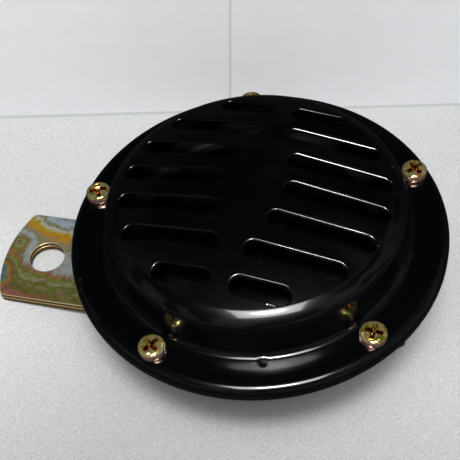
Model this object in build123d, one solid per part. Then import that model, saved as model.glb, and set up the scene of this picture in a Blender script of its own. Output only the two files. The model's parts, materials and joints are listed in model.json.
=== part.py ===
from build123d import *
import math
import os

# Electric disc horn on a strip bracket, millimetres.
# The part's origin is the centre of the bracket's hole on the bracket's back face, with +Z
# out of the horn's front and +X from the hole towards the horn. Pieces of the horn are drawn
# about the horn's own axis, with the rows of slots along X, and turned and moved at the end.

# Bracket: two flat leaves clamped on the rear stud
leaf_thickness = 1.5
leaf_width = 32.0
hole_reach = 69.5           # from the horn's axis to the hole
hole_radius = 5.5
hole_margin = 13.5          # from the hole's centre to the end of the strip
end_radius = 36.0           # crown of the strip's free end
leaf_corner = 2.0
leaf_hole_clearance = 0.25
horn_turn = -4.0            # how far the horn is turned on its bracket, degrees

# Front cover, one pressing
cover_sheet = 1.0
lip_height = 26.0           # from the housing's back to the rim's lower edge
rim_radius = 52.0
rim_bend = 2.4
deck_rise = 4.1             # screw deck above the rim's lower edge
deck_width = 10.3           # from the skirt's line to the rim
skirt_draft = 7.0           # degrees
foot_fillet = 2.0
crown_rise = 22.4           # top of the dome above the rim's lower edge
crown_radius = 124.0
shoulder_fillet = 6.2
slot_width = 4.8
slot_pitch = 10.0
slot_margin = 7.9           # from the skirt's line to the centres of the slots' outer ends
slot_edge = 0.45
middle_web = 10.8           # half the web between the columns, in the middle row
second_web = 9.0
third_web = 5.8
outer_web = 5.0
pip_margin = 1.5            # from the skirt's line to the pips
pip_radius = 1.6
pip_rise = 0.5

# Screws round the rim
screw_count = 5
screw_margin = 4.9          # from the screws' centres to the rim
screw_radius = 2.0
screw_length = 8.0
screw_head_radius = 3.5
screw_head_height = 2.6
screw_head_skirt = 1.4      # straight side of the head
recess_span = 3.9
recess_width = 0.95
recess_depth = 1.5
screw_clearance = 0.2

# Clamped stack, inside the rim
flange_clearance = 0.4
diaphragm_inset = 0.8       # from the flange's edge
diaphragm_thickness = 0.4
gasket_inset = 1.4
gasket_thickness = 0.6
gasket_width = 5.6
bead_inset = 3.6            # from the housing's mouth to the middle of the diaphragm's bead
bead_half = 2.0
bead_rise = 0.7

# Rear housing, one pressing
housing_sheet = 1.2
flange_width = 10.0         # from the inside of the wall to the flange's edge
wall_lean = 3.6             # how much wider the mouth is than the base
base_fillet = 5.0
flange_fillet = 1.6
collar_wall = 1.2
collar_depth = 1.8

# Magnet: core and stud, coil, armature
core_radius = 8.0
core_lead = 0.5
neck_radius = 5.0
stud_radius = 4.0
stud_end_land = 0.8         # thread that shows past the nut
bobbin_room = 19.5          # from the housing's base
bobbin_height = 17.6
bobbin_tube = 1.0
bobbin_flange = 1.2
winding_inset = 0.9
pole_stand = 1.2            # pole face above the bobbin
air_gap = 0.9
armature_inset = 4.5        # from the bobbin's edge
armature_thickness = 3.5
armature_neck = 6.0
armature_stud = 3.0
piece_clearance = 0.05      # round pieces that slip over one another

# Tone disc and what clamps it
spacer_radius = 7.0
spacer_height = 2.5
tone_sheet = 1.2
tone_flat = 25.5
tone_roll = 10.3
tone_roll_angle = 30.0      # degrees
washer_radius = 9.0
washer_thickness = 1.5
armature_nut_flats = 10.0
armature_nut_height = 5.0
armature_stud_end = 2.2     # thread past the nut

# Contact breaker, drawn along X and turned to its place
breaker_turn = 60.0         # degrees
breaker_sheet = 1.2
breaker_room = 4.3          # from the housing's wall, at its base
breaker_fit = 0.2           # round the heads of its rivets
foot_gap = 3.0              # from the bobbin
shelf_overhang = 2.7        # past the rivets' heads
stack_overhang = 1.5
lower_insulator = 1.0
middle_insulator = 1.6
upper_insulator = 0.8
leaf_spring = 0.4
leaf_gap = 0.1              # under the armature's rim
leaf_lap = 1.2              # under the armature's rim
arm_width = 6.0
fixed_arm = 1.0
fixed_arm_lap = 2.2         # past the middle of the contact
point_gap = 7.0             # from the armature's rim to the middle of the contact
point_radius = 1.6
rivet_radius = 1.25
rivet_head_radius = 1.9
rivet_head = 0.8
adjuster_step = 2.4         # from the rivets to the adjusting screw
adjuster_radius = 2.0
adjuster_lead = 0.5
adjuster_stand = 5.0        # end of the screw below the housing's back
adjuster_slot = 0.8
locknut_flats = 7.0
locknut_height = 3.2

# Terminals
terminal_plate = 1.6
terminal_plate_reach = 7.4  # past the rivets
terminal_plate_width = 24.0
terminal_plate_corner = 1.5
back_plate = 1.0
back_plate_gap = 1.5        # from the bobbin
back_plate_reach = 3.9
back_plate_width = 19.6
terminal_spread = 6.4
terminal_inset = 6.4        # from the flat of the housing's back to the rivets
terminal_rivet_radius = 1.5
terminal_head_radius = 2.7
terminal_bush_radius = 2.9
blade_width = 6.3
blade_thickness = 0.8
blade_root = 3.6            # behind its rivet
blade_reach = 18.4          # past its rivet
blade_tip = 1.2
blade_hole = 0.85           # radius of the catch hole near the tip
blade_hole_margin = 4.0

# Nut and washer on the rear stud
stud_nut_flats = 13.0
stud_nut_height = 6.5
nut_crown = 0.93            # the nut's round face across its flats
spring_washer_radius = 7.4
spring_washer_thickness = 2.0
spring_washer_split = 1.6

# Radii and places that follow
skirt_radius = rim_radius - deck_width
screw_circle = rim_radius - screw_margin
pip_circle = skirt_radius + pip_margin
slot_reach = skirt_radius - slot_margin
web_halves = (middle_web, second_web, third_web, outer_web)
flange_radius = rim_radius - cover_sheet - flange_clearance
diaphragm_radius = flange_radius - diaphragm_inset
gasket_radius = flange_radius - gasket_inset
gasket_inner_radius = gasket_radius - gasket_width
mouth_radius = flange_radius - flange_width
base_radius = mouth_radius - wall_lean
bead_radius = mouth_radius - bead_inset
core_face = housing_sheet + bobbin_height + pole_stand
bobbin_radius = base_radius - bobbin_room
winding_radius = bobbin_radius - winding_inset
armature_radius = bobbin_radius - armature_inset
breaker_outer = base_radius - housing_sheet - breaker_room
rivet_line = breaker_outer - breaker_sheet - rivet_head_radius - breaker_fit
rivet_spread = locknut_flats / 2 + rivet_head_radius
breaker_width = 2 * (rivet_spread + rivet_head_radius + breaker_fit)
adjuster_place = rivet_line - adjuster_step
foot_inner = bobbin_radius + foot_gap
shelf_inner = rivet_line - rivet_head_radius - shelf_overhang
stack_inner = rivet_line - rivet_head_radius - stack_overhang
armature_stud_rise = spacer_height + tone_sheet + washer_thickness + armature_nut_height + armature_stud_end
leaf_tip = armature_radius - leaf_lap
point_place = armature_radius + point_gap
fixed_arm_tip = point_place - fixed_arm_lap
terminal_rivet_place = base_radius - base_fillet - terminal_inset
blade_start = terminal_rivet_place - blade_root
blade_end = terminal_rivet_place + blade_reach
terminal_plate_inner = (leaf_width / 2 + blade_start) / 2  # midway from the bracket to the blades
terminal_plate_outer = terminal_rivet_place + terminal_plate_reach
back_plate_inner = bobbin_radius + back_plate_gap
back_plate_outer = terminal_rivet_place + back_plate_reach

# Heights that follow
seat_z = 2 * leaf_thickness
floor_z = seat_z + housing_sheet
lip_z = seat_z + lip_height
deck_z = lip_z + deck_rise
crown_z = lip_z + crown_rise
deck_under = deck_z - cover_sheet
diaphragm_top = deck_under - gasket_thickness
diaphragm_under = diaphragm_top - diaphragm_thickness
flange_top = diaphragm_under - gasket_thickness
pole_z = seat_z + core_face
armature_under = pole_z + air_gap
spacer_top = diaphragm_top + spacer_height
tone_top = spacer_top + tone_sheet
washer_top = tone_top + washer_thickness
leaf_top = armature_under - leaf_gap
leaf_under = leaf_top - leaf_spring
shelf_top = leaf_under - lower_insulator
fixed_arm_under = leaf_top + middle_insulator
fixed_arm_top = fixed_arm_under + fixed_arm
stack_top = fixed_arm_top + upper_insulator
plate_under = seat_z - terminal_plate

os.makedirs("parts", exist_ok=True)
turned_horn = Pos(hole_reach, 0, 0) * Rot(0, 0, horn_turn)
at_breaker = Rot(0, 0, breaker_turn)


def save(name, piece):
    export_step(piece, f"parts/{name}.step")


def ring(outer, inner, low, high):
    """A round disc with a hole, between two heights."""
    body = Pos(0, 0, low) * extrude(Circle(outer), amount=high - low)
    if inner > 0:
        body -= Pos(0, 0, low) * extrude(Circle(inner), amount=high - low)
    return body


def block(x_low, x_high, width, low, high):
    """A plate along X, centred on the X axis."""
    outline = Pos((x_low + x_high) / 2, 0, low) * Rectangle(x_high - x_low, width)
    return extrude(outline, amount=high - low)


def turned(face):
    """A half section in the XZ plane, spun about Z."""
    return revolve(Plane.XZ * face, axis=Axis.Z)


def rounded(face, corner, radius):
    """The section with the corner nearest a point rounded."""
    vertex = face.vertices().sort_by_distance(Vector(*corner, 0))[0]
    return fillet(vertex, radius)


def around(spots, piece):
    """One copy of a piece at each place."""
    return [spot * piece for spot in spots]


def hex_nut(flats, bore, low, high):
    """A hexagon nut, its corners turned off on both faces, one flat towards -X."""
    height = high - low
    corner = flats / math.sqrt(3)
    body = Pos(0, 0, low) * extrude(RegularPolygon(corner, 6, rotation=30), amount=height)
    crown = flats / 2 * nut_crown
    cone = crown + height / 2 / math.tan(math.radians(30))
    half = Polygon((0, low), (crown, low), (cone, low + height / 2), (crown, high), (0, high), align=None)
    body &= turned(half)
    return body - ring(bore, 0, low, high)


screw_spots = PolarLocations(screw_circle, screw_count, start_angle=180)
pip_spots = PolarLocations(pip_circle, screw_count, start_angle=180 + 180 / screw_count)


# ---------------------------------------------------------------- front cover
def cover_section(inset):
    """What lies under the cover's outside face, taken in by a part of the sheet."""
    deck = deck_z - inset
    rim = rim_radius - inset
    slope = math.tan(math.radians(skirt_draft))
    foot = skirt_radius + inset * slope - inset / math.cos(math.radians(skirt_draft))
    above = crown_z - deck
    wall = Polygon((0, deck), (foot, deck), (foot - above * slope, crown_z), (0, crown_z), align=None)
    ball = Pos(0, crown_z - crown_radius) * Circle(crown_radius - inset)
    flange = Polygon((0, lip_z), (rim, lip_z), (rim, deck), (0, deck), align=None)
    face = (wall & ball) + flange
    shoulder_z = crown_z - skirt_radius**2 / 2 / crown_radius
    face = rounded(face, (foot - (shoulder_z - deck) * slope, shoulder_z), shoulder_fillet - inset)
    face = rounded(face, (foot, deck), foot_fillet + inset)
    return rounded(face, (rim, deck), rim_bend - inset)


def slot_cutters():
    cutters = []
    for row, web in enumerate(web_halves):
        away = row * slot_pitch
        if math.hypot(away, web + slot_width) > slot_reach:
            continue
        reach = math.sqrt(slot_reach**2 - away**2)
        slot = SlotCenterToCenter(reach - web, slot_width)
        for side in (-1, 1):
            for turn in (0, 180):
                if row == 0 and side < 0:
                    continue
                spot = Rot(0, 0, turn) * Pos((reach + web) / 2, side * away, deck_z)
                cutters.append(extrude(spot * slot, amount=crown_rise))
    return cutters


def front_cover():
    shell = turned(cover_section(0)) - turned(cover_section(cover_sheet))
    shell = Rot(0, 0, 90) * shell  # the turned faces' seams run up the web, clear of every slot
    for cutter in slot_cutters():
        shell -= cutter
    mouths = ShapeList()
    for edge in shell.edges():
        middle = edge @ 0.5
        radius = math.hypot(middle.X, middle.Y)
        outside = crown_z - crown_radius + math.sqrt(crown_radius**2 - radius**2)
        if radius < slot_reach + slot_width and abs(middle.Z - outside) < cover_sheet / 4:
            mouths.append(edge)
    shell = fillet(mouths, slot_edge)
    pip_ball = (pip_radius**2 + pip_rise**2) / 2 / pip_rise
    pip = Pos(0, 0, deck_z + pip_rise - pip_ball) * Sphere(pip_ball)
    pip &= ring(pip_radius, 0, deck_z - cover_sheet / 2, deck_z + 2 * pip_rise)
    for one in around(pip_spots, pip):
        shell += one
    hole = ring(screw_radius + screw_clearance, 0, deck_under - cover_sheet, deck_z + cover_sheet)
    for one in around(screw_spots, hole):
        shell -= one
    return shell


# ---------------------------------------------------------------- rim screws
def rim_screw():
    """Pan head with a cross recess, on a plain shank."""
    under = deck_z
    top = under + screw_head_height
    head = ring(screw_head_radius, 0, under, top)
    head = chamfer(head.faces().sort_by(Axis.Z)[-1].edges(), screw_head_height - screw_head_skirt)
    arm = block(-recess_span / 2, recess_span / 2, recess_width, top - recess_depth, top)
    for turn in (0, 90):
        head -= Rot(0, 0, turn) * arm
    return head + ring(screw_radius, 0, under - screw_length, under)


# ---------------------------------------------------------------- clamped stack
def notched(piece, low, high):
    """Open notches at the edge for the rim screws."""
    radius = screw_radius + screw_clearance
    notch = ring(radius, 0, low, high) + block(0, rim_radius - screw_circle, 2 * radius, low, high)
    for one in around(screw_spots, notch):
        piece -= one
    return piece


def gasket(low):
    high = low + gasket_thickness
    return notched(ring(gasket_radius, gasket_inner_radius, low, high), low, high)


def diaphragm():
    def face_line(z):
        start = bead_radius - bead_half
        end = bead_radius + bead_half
        bead = ThreePointArc((start, z), (bead_radius, z + bead_rise), (end, z))
        inner = Line((armature_stud + piece_clearance, z), (start, z))
        return inner + bead + Line((end, z), (diaphragm_radius, z))

    hole = armature_stud + piece_clearance
    ends = Line((hole, diaphragm_under), (hole, diaphragm_top))
    ends += Line((diaphragm_radius, diaphragm_under), (diaphragm_radius, diaphragm_top))
    sheet = turned(make_face(face_line(diaphragm_under) + face_line(diaphragm_top) + ends))
    return notched(sheet, diaphragm_under, diaphragm_top)


# ---------------------------------------------------------------- rear housing
def cup_space(grow):
    """The room inside the housing and above its flange, grown by a part of the sheet."""
    floor = floor_z - grow
    flange = flange_top - grow
    far = rim_radius + grow
    wall = Polygon(
        (0, floor),
        (base_radius - housing_sheet + grow, floor),
        (mouth_radius + grow, flange),
        (far, flange),
        (far, crown_z),
        (0, crown_z),
        align=None,
    )
    wall = rounded(wall, (base_radius - housing_sheet + grow, floor), base_fillet - housing_sheet + grow)
    return rounded(wall, (mouth_radius + grow, flange), flange_fillet + housing_sheet - grow)


def rear_housing():
    shell = turned(cup_space(housing_sheet)) - turned(cup_space(0))
    shell &= ring(flange_radius, 0, seat_z, flange_top)
    under = flange_top - housing_sheet
    tapped = screw_radius + piece_clearance
    collar = ring(tapped + collar_wall, 0, under - collar_depth, under)
    for one in around(screw_spots, collar):
        shell += one
    for one in around(screw_spots, ring(tapped, 0, under - collar_depth, flange_top)):
        shell -= one
    shell -= ring(neck_radius + piece_clearance, 0, seat_z, floor_z)
    boss_radius = adjuster_radius + collar_wall
    boss = Pos(adjuster_place, 0) * ring(boss_radius, 0, floor_z, floor_z + collar_depth)
    shell += at_breaker * boss
    tap = Pos(adjuster_place, 0) * ring(adjuster_radius + piece_clearance, 0, seat_z, crown_z)
    shell -= at_breaker * tap
    for side in (-1, 1):
        rivet_hole = ring(rivet_radius + piece_clearance, 0, seat_z, floor_z)
        shell -= at_breaker * Pos(rivet_line, side * rivet_spread) * rivet_hole
        bush_hole = ring(terminal_bush_radius + piece_clearance, 0, seat_z, floor_z)
        shell -= Pos(terminal_rivet_place, side * terminal_spread) * bush_hole
    return shell


# ---------------------------------------------------------------- magnet
def pole_core():
    nut_end = -spring_washer_thickness - stud_nut_height
    core = ring(core_radius, 0, floor_z, pole_z)
    core = chamfer(core.faces().sort_by(Axis.Z)[-1].edges(), core_lead)
    core += ring(neck_radius, 0, seat_z, floor_z)
    stud = ring(stud_radius, 0, nut_end - stud_end_land, seat_z)
    stud = chamfer(stud.edges().sort_by(Axis.Z)[0], stud_end_land * 0.75)
    return core + stud


def coil_bobbin():
    low = floor_z
    high = floor_z + bobbin_height
    bore = core_radius + piece_clearance
    spool = ring(bobbin_radius, bore, low, low + bobbin_flange)
    spool += ring(bobbin_radius, bore, high - bobbin_flange, high)
    return spool + ring(bore + bobbin_tube, bore, low, high)


def coil_winding():
    inner = core_radius + piece_clearance + bobbin_tube
    low = floor_z + bobbin_flange
    return ring(winding_radius, inner, low, low + bobbin_height - 2 * bobbin_flange)


def armature():
    plate_top = armature_under + armature_thickness
    plate = ring(armature_radius, 0, armature_under, plate_top)
    plate += ring(armature_neck, 0, plate_top, diaphragm_under)
    stud = ring(armature_stud, 0, diaphragm_under, diaphragm_top + armature_stud_rise)
    return plate + stud


# ---------------------------------------------------------------- tone disc
def tone_disc():
    """Flat in the middle, with its edge rolled down."""
    angle = math.radians(tone_roll_angle)
    middle = angle / 2
    centre_z = tone_top - tone_roll

    def roll(radius, part):
        return (tone_flat + radius * math.sin(part), centre_z + radius * math.cos(part))

    inner = tone_roll - tone_sheet
    hole = armature_stud + piece_clearance
    outline = Polyline(roll(tone_roll, 0), (hole, tone_top), (hole, spacer_top), roll(inner, 0))
    outline += ThreePointArc(roll(inner, 0), roll(inner, middle), roll(inner, angle))
    outline += Line(roll(inner, angle), roll(tone_roll, angle))
    outline += ThreePointArc(roll(tone_roll, angle), roll(tone_roll, middle), roll(tone_roll, 0))
    return turned(make_face(outline))


# ---------------------------------------------------------------- contact breaker
def rivet(low, high, radius, head_radius, head):
    """A rivet through a stack, with a low head at each end."""
    body = ring(radius, 0, low, high) + ring(head_radius, 0, high, high + head)
    return body + ring(head_radius, 0, low - head, low)


def riveted(piece, low, high):
    """Two holes for the breaker's rivets."""
    for side in (-1, 1):
        hole = ring(rivet_radius + piece_clearance, 0, low, high)
        piece -= Pos(rivet_line, side * rivet_spread) * hole
    return piece


def breaker_bracket():
    foot_top = floor_z + breaker_sheet
    shelf_under = shelf_top - breaker_sheet
    foot = riveted(block(foot_inner, breaker_outer, breaker_width, floor_z, foot_top), floor_z, foot_top)
    boss = adjuster_radius + collar_wall + screw_clearance
    foot -= Pos(adjuster_place, 0) * ring(boss, 0, floor_z, foot_top)
    shelf = riveted(
        block(shelf_inner, breaker_outer, breaker_width, shelf_under, shelf_top), shelf_under, shelf_top
    )
    upright = block(breaker_outer - breaker_sheet, breaker_outer, breaker_width, floor_z, shelf_top)
    bent = foot + upright + shelf
    outer_edges = bent.edges().filter_by(Axis.Y).group_by(Axis.X)[-1]
    return fillet(outer_edges, breaker_sheet)


def stack_plate(low, thickness):
    high = low + thickness
    return riveted(block(stack_inner, breaker_outer, breaker_width, low, high), low, high)


def contact_arm(tip, low, thickness):
    """A clamped root with a narrower arm that reaches inwards over the contact."""
    high = low + thickness
    arm = block(tip + arm_width / 2, stack_inner, arm_width, low, high)
    arm += Pos(tip + arm_width / 2, 0) * ring(arm_width / 2, 0, low, high)
    return arm + stack_plate(low, thickness)


def adjusting_screw():
    tip = shelf_top - breaker_sheet
    end = seat_z - adjuster_stand
    screw = ring(adjuster_radius, 0, end, tip)
    screw = chamfer(screw.faces().sort_by(Axis.Z)[-1].edges(), adjuster_lead)
    return screw - block(-adjuster_radius, adjuster_radius, adjuster_slot, end, end + adjuster_slot * 1.5)


# ---------------------------------------------------------------- terminals
def outer_plate():
    plate = block(terminal_plate_inner, terminal_plate_outer, terminal_plate_width, plate_under, seat_z)
    plate = fillet(plate.edges().filter_by(Axis.Z), terminal_plate_corner)
    for side in (-1, 1):
        spot = Pos(terminal_rivet_place, side * terminal_spread)
        plate += spot * ring(terminal_bush_radius, 0, seat_z, floor_z)
        plate -= spot * ring(terminal_rivet_radius + piece_clearance, 0, plate_under, floor_z)
    return plate


def inner_plate():
    high = floor_z + back_plate
    plate = block(back_plate_inner, back_plate_outer, back_plate_width, floor_z, high)
    for side in (-1, 1):
        hole = ring(terminal_rivet_radius + piece_clearance, 0, floor_z, high)
        plate -= Pos(terminal_rivet_place, side * terminal_spread) * hole
    return plate


def terminal(side):
    low = plate_under - blade_thickness
    blade = block(blade_start, blade_end, blade_width, low, plate_under)
    blade = chamfer(blade.edges().filter_by(Axis.Z).group_by(Axis.X)[-1], blade_tip)
    blade -= Pos(blade_end - blade_hole_margin, 0) * ring(blade_hole, 0, low, plate_under)
    hole = ring(terminal_rivet_radius + piece_clearance, 0, low, plate_under)
    blade -= Pos(terminal_rivet_place, 0) * hole
    return Pos(0, side * terminal_spread) * blade


def terminal_rivets():
    low = plate_under - blade_thickness
    high = floor_z + back_plate
    one = rivet(low, high, terminal_rivet_radius, terminal_head_radius, rivet_head)
    return [Pos(terminal_rivet_place, side * terminal_spread) * one for side in (-1, 1)]


# ---------------------------------------------------------------- bracket and stud nut
def bracket_leaf(low):
    """One leaf, about the bracket's hole, with a crowned free end and a round inner end."""
    strip = Polygon(
        (-hole_margin, -leaf_width / 2),
        (hole_reach, -leaf_width / 2),
        (hole_reach, leaf_width / 2),
        (-hole_margin, leaf_width / 2),
        align=None,
    )
    crown_place = end_radius - hole_margin
    crown = Pos(crown_place, 0) * Circle(end_radius)
    beyond = Pos(crown_place + hole_reach, 0) * Rectangle(2 * hole_reach, leaf_width)
    free_end = strip & (crown + beyond)
    corners = free_end.vertices().group_by(Axis.X)[0]
    outline = fillet(corners, leaf_corner) + Pos(hole_reach, 0) * Circle(leaf_width / 2)
    outline -= Circle(hole_radius)
    outline -= Pos(hole_reach, 0) * Circle(stud_radius + leaf_hole_clearance)
    return Pos(0, 0, low) * extrude(outline, amount=leaf_thickness)


def spring_washer():
    washer = ring(spring_washer_radius, stud_radius + piece_clearance, -spring_washer_thickness, 0)
    return washer - block(0, 2 * spring_washer_radius, spring_washer_split, -spring_washer_thickness, 0)


insulators = [
    stack_plate(shelf_top, lower_insulator),
    stack_plate(leaf_top, middle_insulator),
    stack_plate(fixed_arm_top, upper_insulator),
]
stack_rivet = rivet(shelf_top - breaker_sheet, stack_top, rivet_radius, rivet_head_radius, rivet_head)
foot_rivet = rivet(seat_z, floor_z + breaker_sheet, rivet_radius, rivet_head_radius, rivet_head)
moving_point = Pos(point_place, 0) * ring(point_radius, 0, leaf_top, leaf_top + middle_insulator / 2)
fixed_point = Pos(point_place, 0) * ring(point_radius, 0, leaf_top + middle_insulator / 2, fixed_arm_under)
stud_nut_z = -spring_washer_thickness
horn_pieces = {
    "front_cover": front_cover(),
    "cover_screws": around(screw_spots, rim_screw()),
    "front_gasket": gasket(diaphragm_top),
    "diaphragm": diaphragm(),
    "rear_gasket": gasket(flange_top),
    "rear_housing": rear_housing(),
    "pole_core": pole_core(),
    "coil_bobbin": coil_bobbin(),
    "coil_winding": coil_winding(),
    "armature": armature(),
    "tone_disc_spacer": ring(spacer_radius, armature_stud + piece_clearance, diaphragm_top, spacer_top),
    "tone_disc": tone_disc(),
    "tone_disc_washer": ring(washer_radius, armature_stud + piece_clearance, tone_top, washer_top),
    "armature_nut": hex_nut(
        armature_nut_flats, armature_stud + piece_clearance, washer_top, washer_top + armature_nut_height
    ),
    "breaker_bracket": at_breaker * breaker_bracket(),
    "breaker_foot_rivets": [
        at_breaker * Pos(rivet_line, side * rivet_spread) * foot_rivet for side in (-1, 1)
    ],
    "contact_insulators": [at_breaker * plate for plate in insulators],
    "moving_contact_leaf": at_breaker * contact_arm(leaf_tip, leaf_under, leaf_spring),
    "moving_contact_point": at_breaker * moving_point,
    "fixed_contact_arm": at_breaker * contact_arm(fixed_arm_tip, fixed_arm_under, fixed_arm),
    "fixed_contact_point": at_breaker * fixed_point,
    "contact_stack_rivets": [
        at_breaker * Pos(rivet_line, side * rivet_spread) * stack_rivet for side in (-1, 1)
    ],
    "adjusting_screw": at_breaker * Pos(adjuster_place, 0) * adjusting_screw(),
    "adjusting_locknut": at_breaker
    * Pos(adjuster_place, 0)
    * hex_nut(locknut_flats, adjuster_radius + piece_clearance, seat_z - locknut_height, seat_z),
    "terminal_plate": outer_plate(),
    "terminal_back_plate": inner_plate(),
    "positive_terminal": terminal(1),
    "negative_terminal": terminal(-1),
    "terminal_rivets": terminal_rivets(),
}
bracket_pieces = {
    "bracket_front_leaf": bracket_leaf(leaf_thickness),
    "bracket_back_leaf": bracket_leaf(0),
    "stud_spring_washer": Pos(hole_reach, 0) * spring_washer(),
    "stud_nut": Pos(hole_reach, 0)
    * hex_nut(stud_nut_flats, stud_radius + piece_clearance, stud_nut_z - stud_nut_height, stud_nut_z),
}

for name, piece in horn_pieces.items():
    solids = piece if isinstance(piece, list) else [piece]
    placed = [turned_horn * solid for solid in solids]
    save(name, placed[0] if len(placed) == 1 else Compound(children=placed))
for name, piece in bracket_pieces.items():
    save(name, piece)
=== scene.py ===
import json
import math

import bmesh
import bpy
from mathutils import Matrix, Vector


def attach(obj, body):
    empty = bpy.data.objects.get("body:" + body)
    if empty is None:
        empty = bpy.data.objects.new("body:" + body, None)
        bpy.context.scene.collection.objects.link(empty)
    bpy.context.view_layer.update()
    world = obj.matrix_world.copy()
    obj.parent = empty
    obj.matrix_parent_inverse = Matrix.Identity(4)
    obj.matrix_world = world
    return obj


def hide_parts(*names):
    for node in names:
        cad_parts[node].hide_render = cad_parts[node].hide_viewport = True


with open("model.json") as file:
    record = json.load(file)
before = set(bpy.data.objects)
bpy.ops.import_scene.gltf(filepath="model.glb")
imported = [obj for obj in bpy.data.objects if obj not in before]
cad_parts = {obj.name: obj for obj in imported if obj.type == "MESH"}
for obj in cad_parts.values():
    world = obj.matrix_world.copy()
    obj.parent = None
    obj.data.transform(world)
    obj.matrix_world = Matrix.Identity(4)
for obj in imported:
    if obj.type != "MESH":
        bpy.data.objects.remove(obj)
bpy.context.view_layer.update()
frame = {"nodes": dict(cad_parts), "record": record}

mm = 0.001
scene = bpy.context.scene
scene.view_settings.view_transform = "Standard"

# sizes are in mm and angles in degrees, unless a note says otherwise
horn = {
    "axis": (69.5, 0.0),   # horn's axis, from the bracket's hole
    "turn": -4.0,          # of the horn on its bracket
    "rimFoot": 29.0,       # rim's lower edge above the bracket's back
}
hornPlaceMm = (
    Matrix.Translation((*horn["axis"], 0)) @ Matrix.Rotation(math.radians(horn["turn"]), 4, "Z")
)


# an sRGB hex colour as linear values
def hexColor(text):
    parts = [int(text[i:i + 2], 16) / 255 for i in (1, 3, 5)]
    linear = [p / 12.92 if p <= 0.04045 else ((p + 0.055) / 1.055) ** 2.4 for p in parts]
    return (*linear, 1.0)


# a node's input goes by its name, with _ for a blank, or by i and its number
def setInputs(tree, node, **inputs):
    for name, value in inputs.items():
        byNumber = name[0] == "i" and name[1:].isdigit()
        socket = node.inputs[int(name[1:]) if byNumber else name.replace("_", " ")]
        if isinstance(value, bpy.types.NodeSocket):
            tree.links.new(value, socket)
        else:
            socket.default_value = value


def addNode(tree, kind, settings=None, **inputs):
    node = tree.nodes.new(kind)
    for name, value in (settings or {}).items():
        setattr(node, name, value)
    setInputs(tree, node, **inputs)
    return node


def newMaterial(name):
    material = bpy.data.materials.new(name)
    material.use_nodes = True
    tree = material.node_tree
    return material, tree, tree.nodes["Principled BSDF"]


# a pattern's scale from the size of what it draws
def scaleFor(size):
    return 1 / (size * mm)


# colours along a ramp, as (place, hex)
def setRamp(node, stops):
    ramp = node.color_ramp
    while len(ramp.elements) < len(stops):
        ramp.elements.new(0.5)
    for element, (spot, colour) in zip(ramp.elements, stops):
        element.position = spot
        element.color = hexColor(colour)


# a CAD node takes this material
def paint(node, material):
    mesh = frame["nodes"][node].data
    mesh.materials.clear()
    mesh.materials.append(material)


print("stage: materials")
# Stoved gloss enamel on pressed steel: a deep black skin with a clear mirror gloss,
# a trace of orange peel and a few rubbed spots that look grey.
enamel = {
    "black": "#020304", "rubbed": "#5c6062",
    "peel": 2.2, "peelHeight": 0.02, "peelBump": 0.08,
    "dust": 0.45, "roughLow": 0.19, "roughHigh": 0.24,
    "speck": 0.9, "patch": 16.0,        # the rubbed specks lie in patches
    "ior": 1.5, "specular": 0.26, "coat": 0.85, "coatRough": 0.085,
}


def makeBlackEnamel():
    material, tree, shader = newMaterial("blackStovingEnamel")
    place = addNode(tree, "ShaderNodeTexCoord").outputs["Object"]
    peel, dust, patches, specks = (
        addNode(
            tree, "ShaderNodeTexNoise", Vector=place, Scale=scaleFor(enamel[name]), Detail=detail,
        )
        for name, detail in (("peel", 2.0), ("dust", 4.0), ("patch", 1.0), ("speck", 2.0))
    )
    rough = addNode(
        tree, "ShaderNodeMapRange", Value=dust.outputs["Fac"], From_Min=0.35, From_Max=0.75,
        To_Min=enamel["roughLow"], To_Max=enamel["roughHigh"],
    )
    bump = addNode(
        tree, "ShaderNodeBump", Strength=enamel["peelBump"], Distance=enamel["peelHeight"] * mm,
        Height=peel.outputs["Fac"],
    )
    where = addNode(
        tree, "ShaderNodeMapRange", Value=patches.outputs["Fac"], From_Min=0.68, From_Max=0.78,
    )
    rubs = addNode(
        tree, "ShaderNodeMapRange", Value=specks.outputs["Fac"], From_Min=0.66, From_Max=0.74,
        To_Max=where.outputs["Result"],
    )
    worn = addNode(
        tree, "ShaderNodeMix", {"data_type": "RGBA"}, Factor=rubs.outputs["Result"],
        i6=hexColor(enamel["black"]), i7=hexColor(enamel["rubbed"]),
    )
    setInputs(
        tree, shader, Base_Color=worn.outputs[2], Roughness=rough.outputs["Result"],
        Normal=bump.outputs["Normal"], IOR=enamel["ior"], Specular_IOR_Level=enamel["specular"],
        Coat_Weight=enamel["coat"], Coat_Roughness=enamel["coatRough"],
    )
    return material


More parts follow.
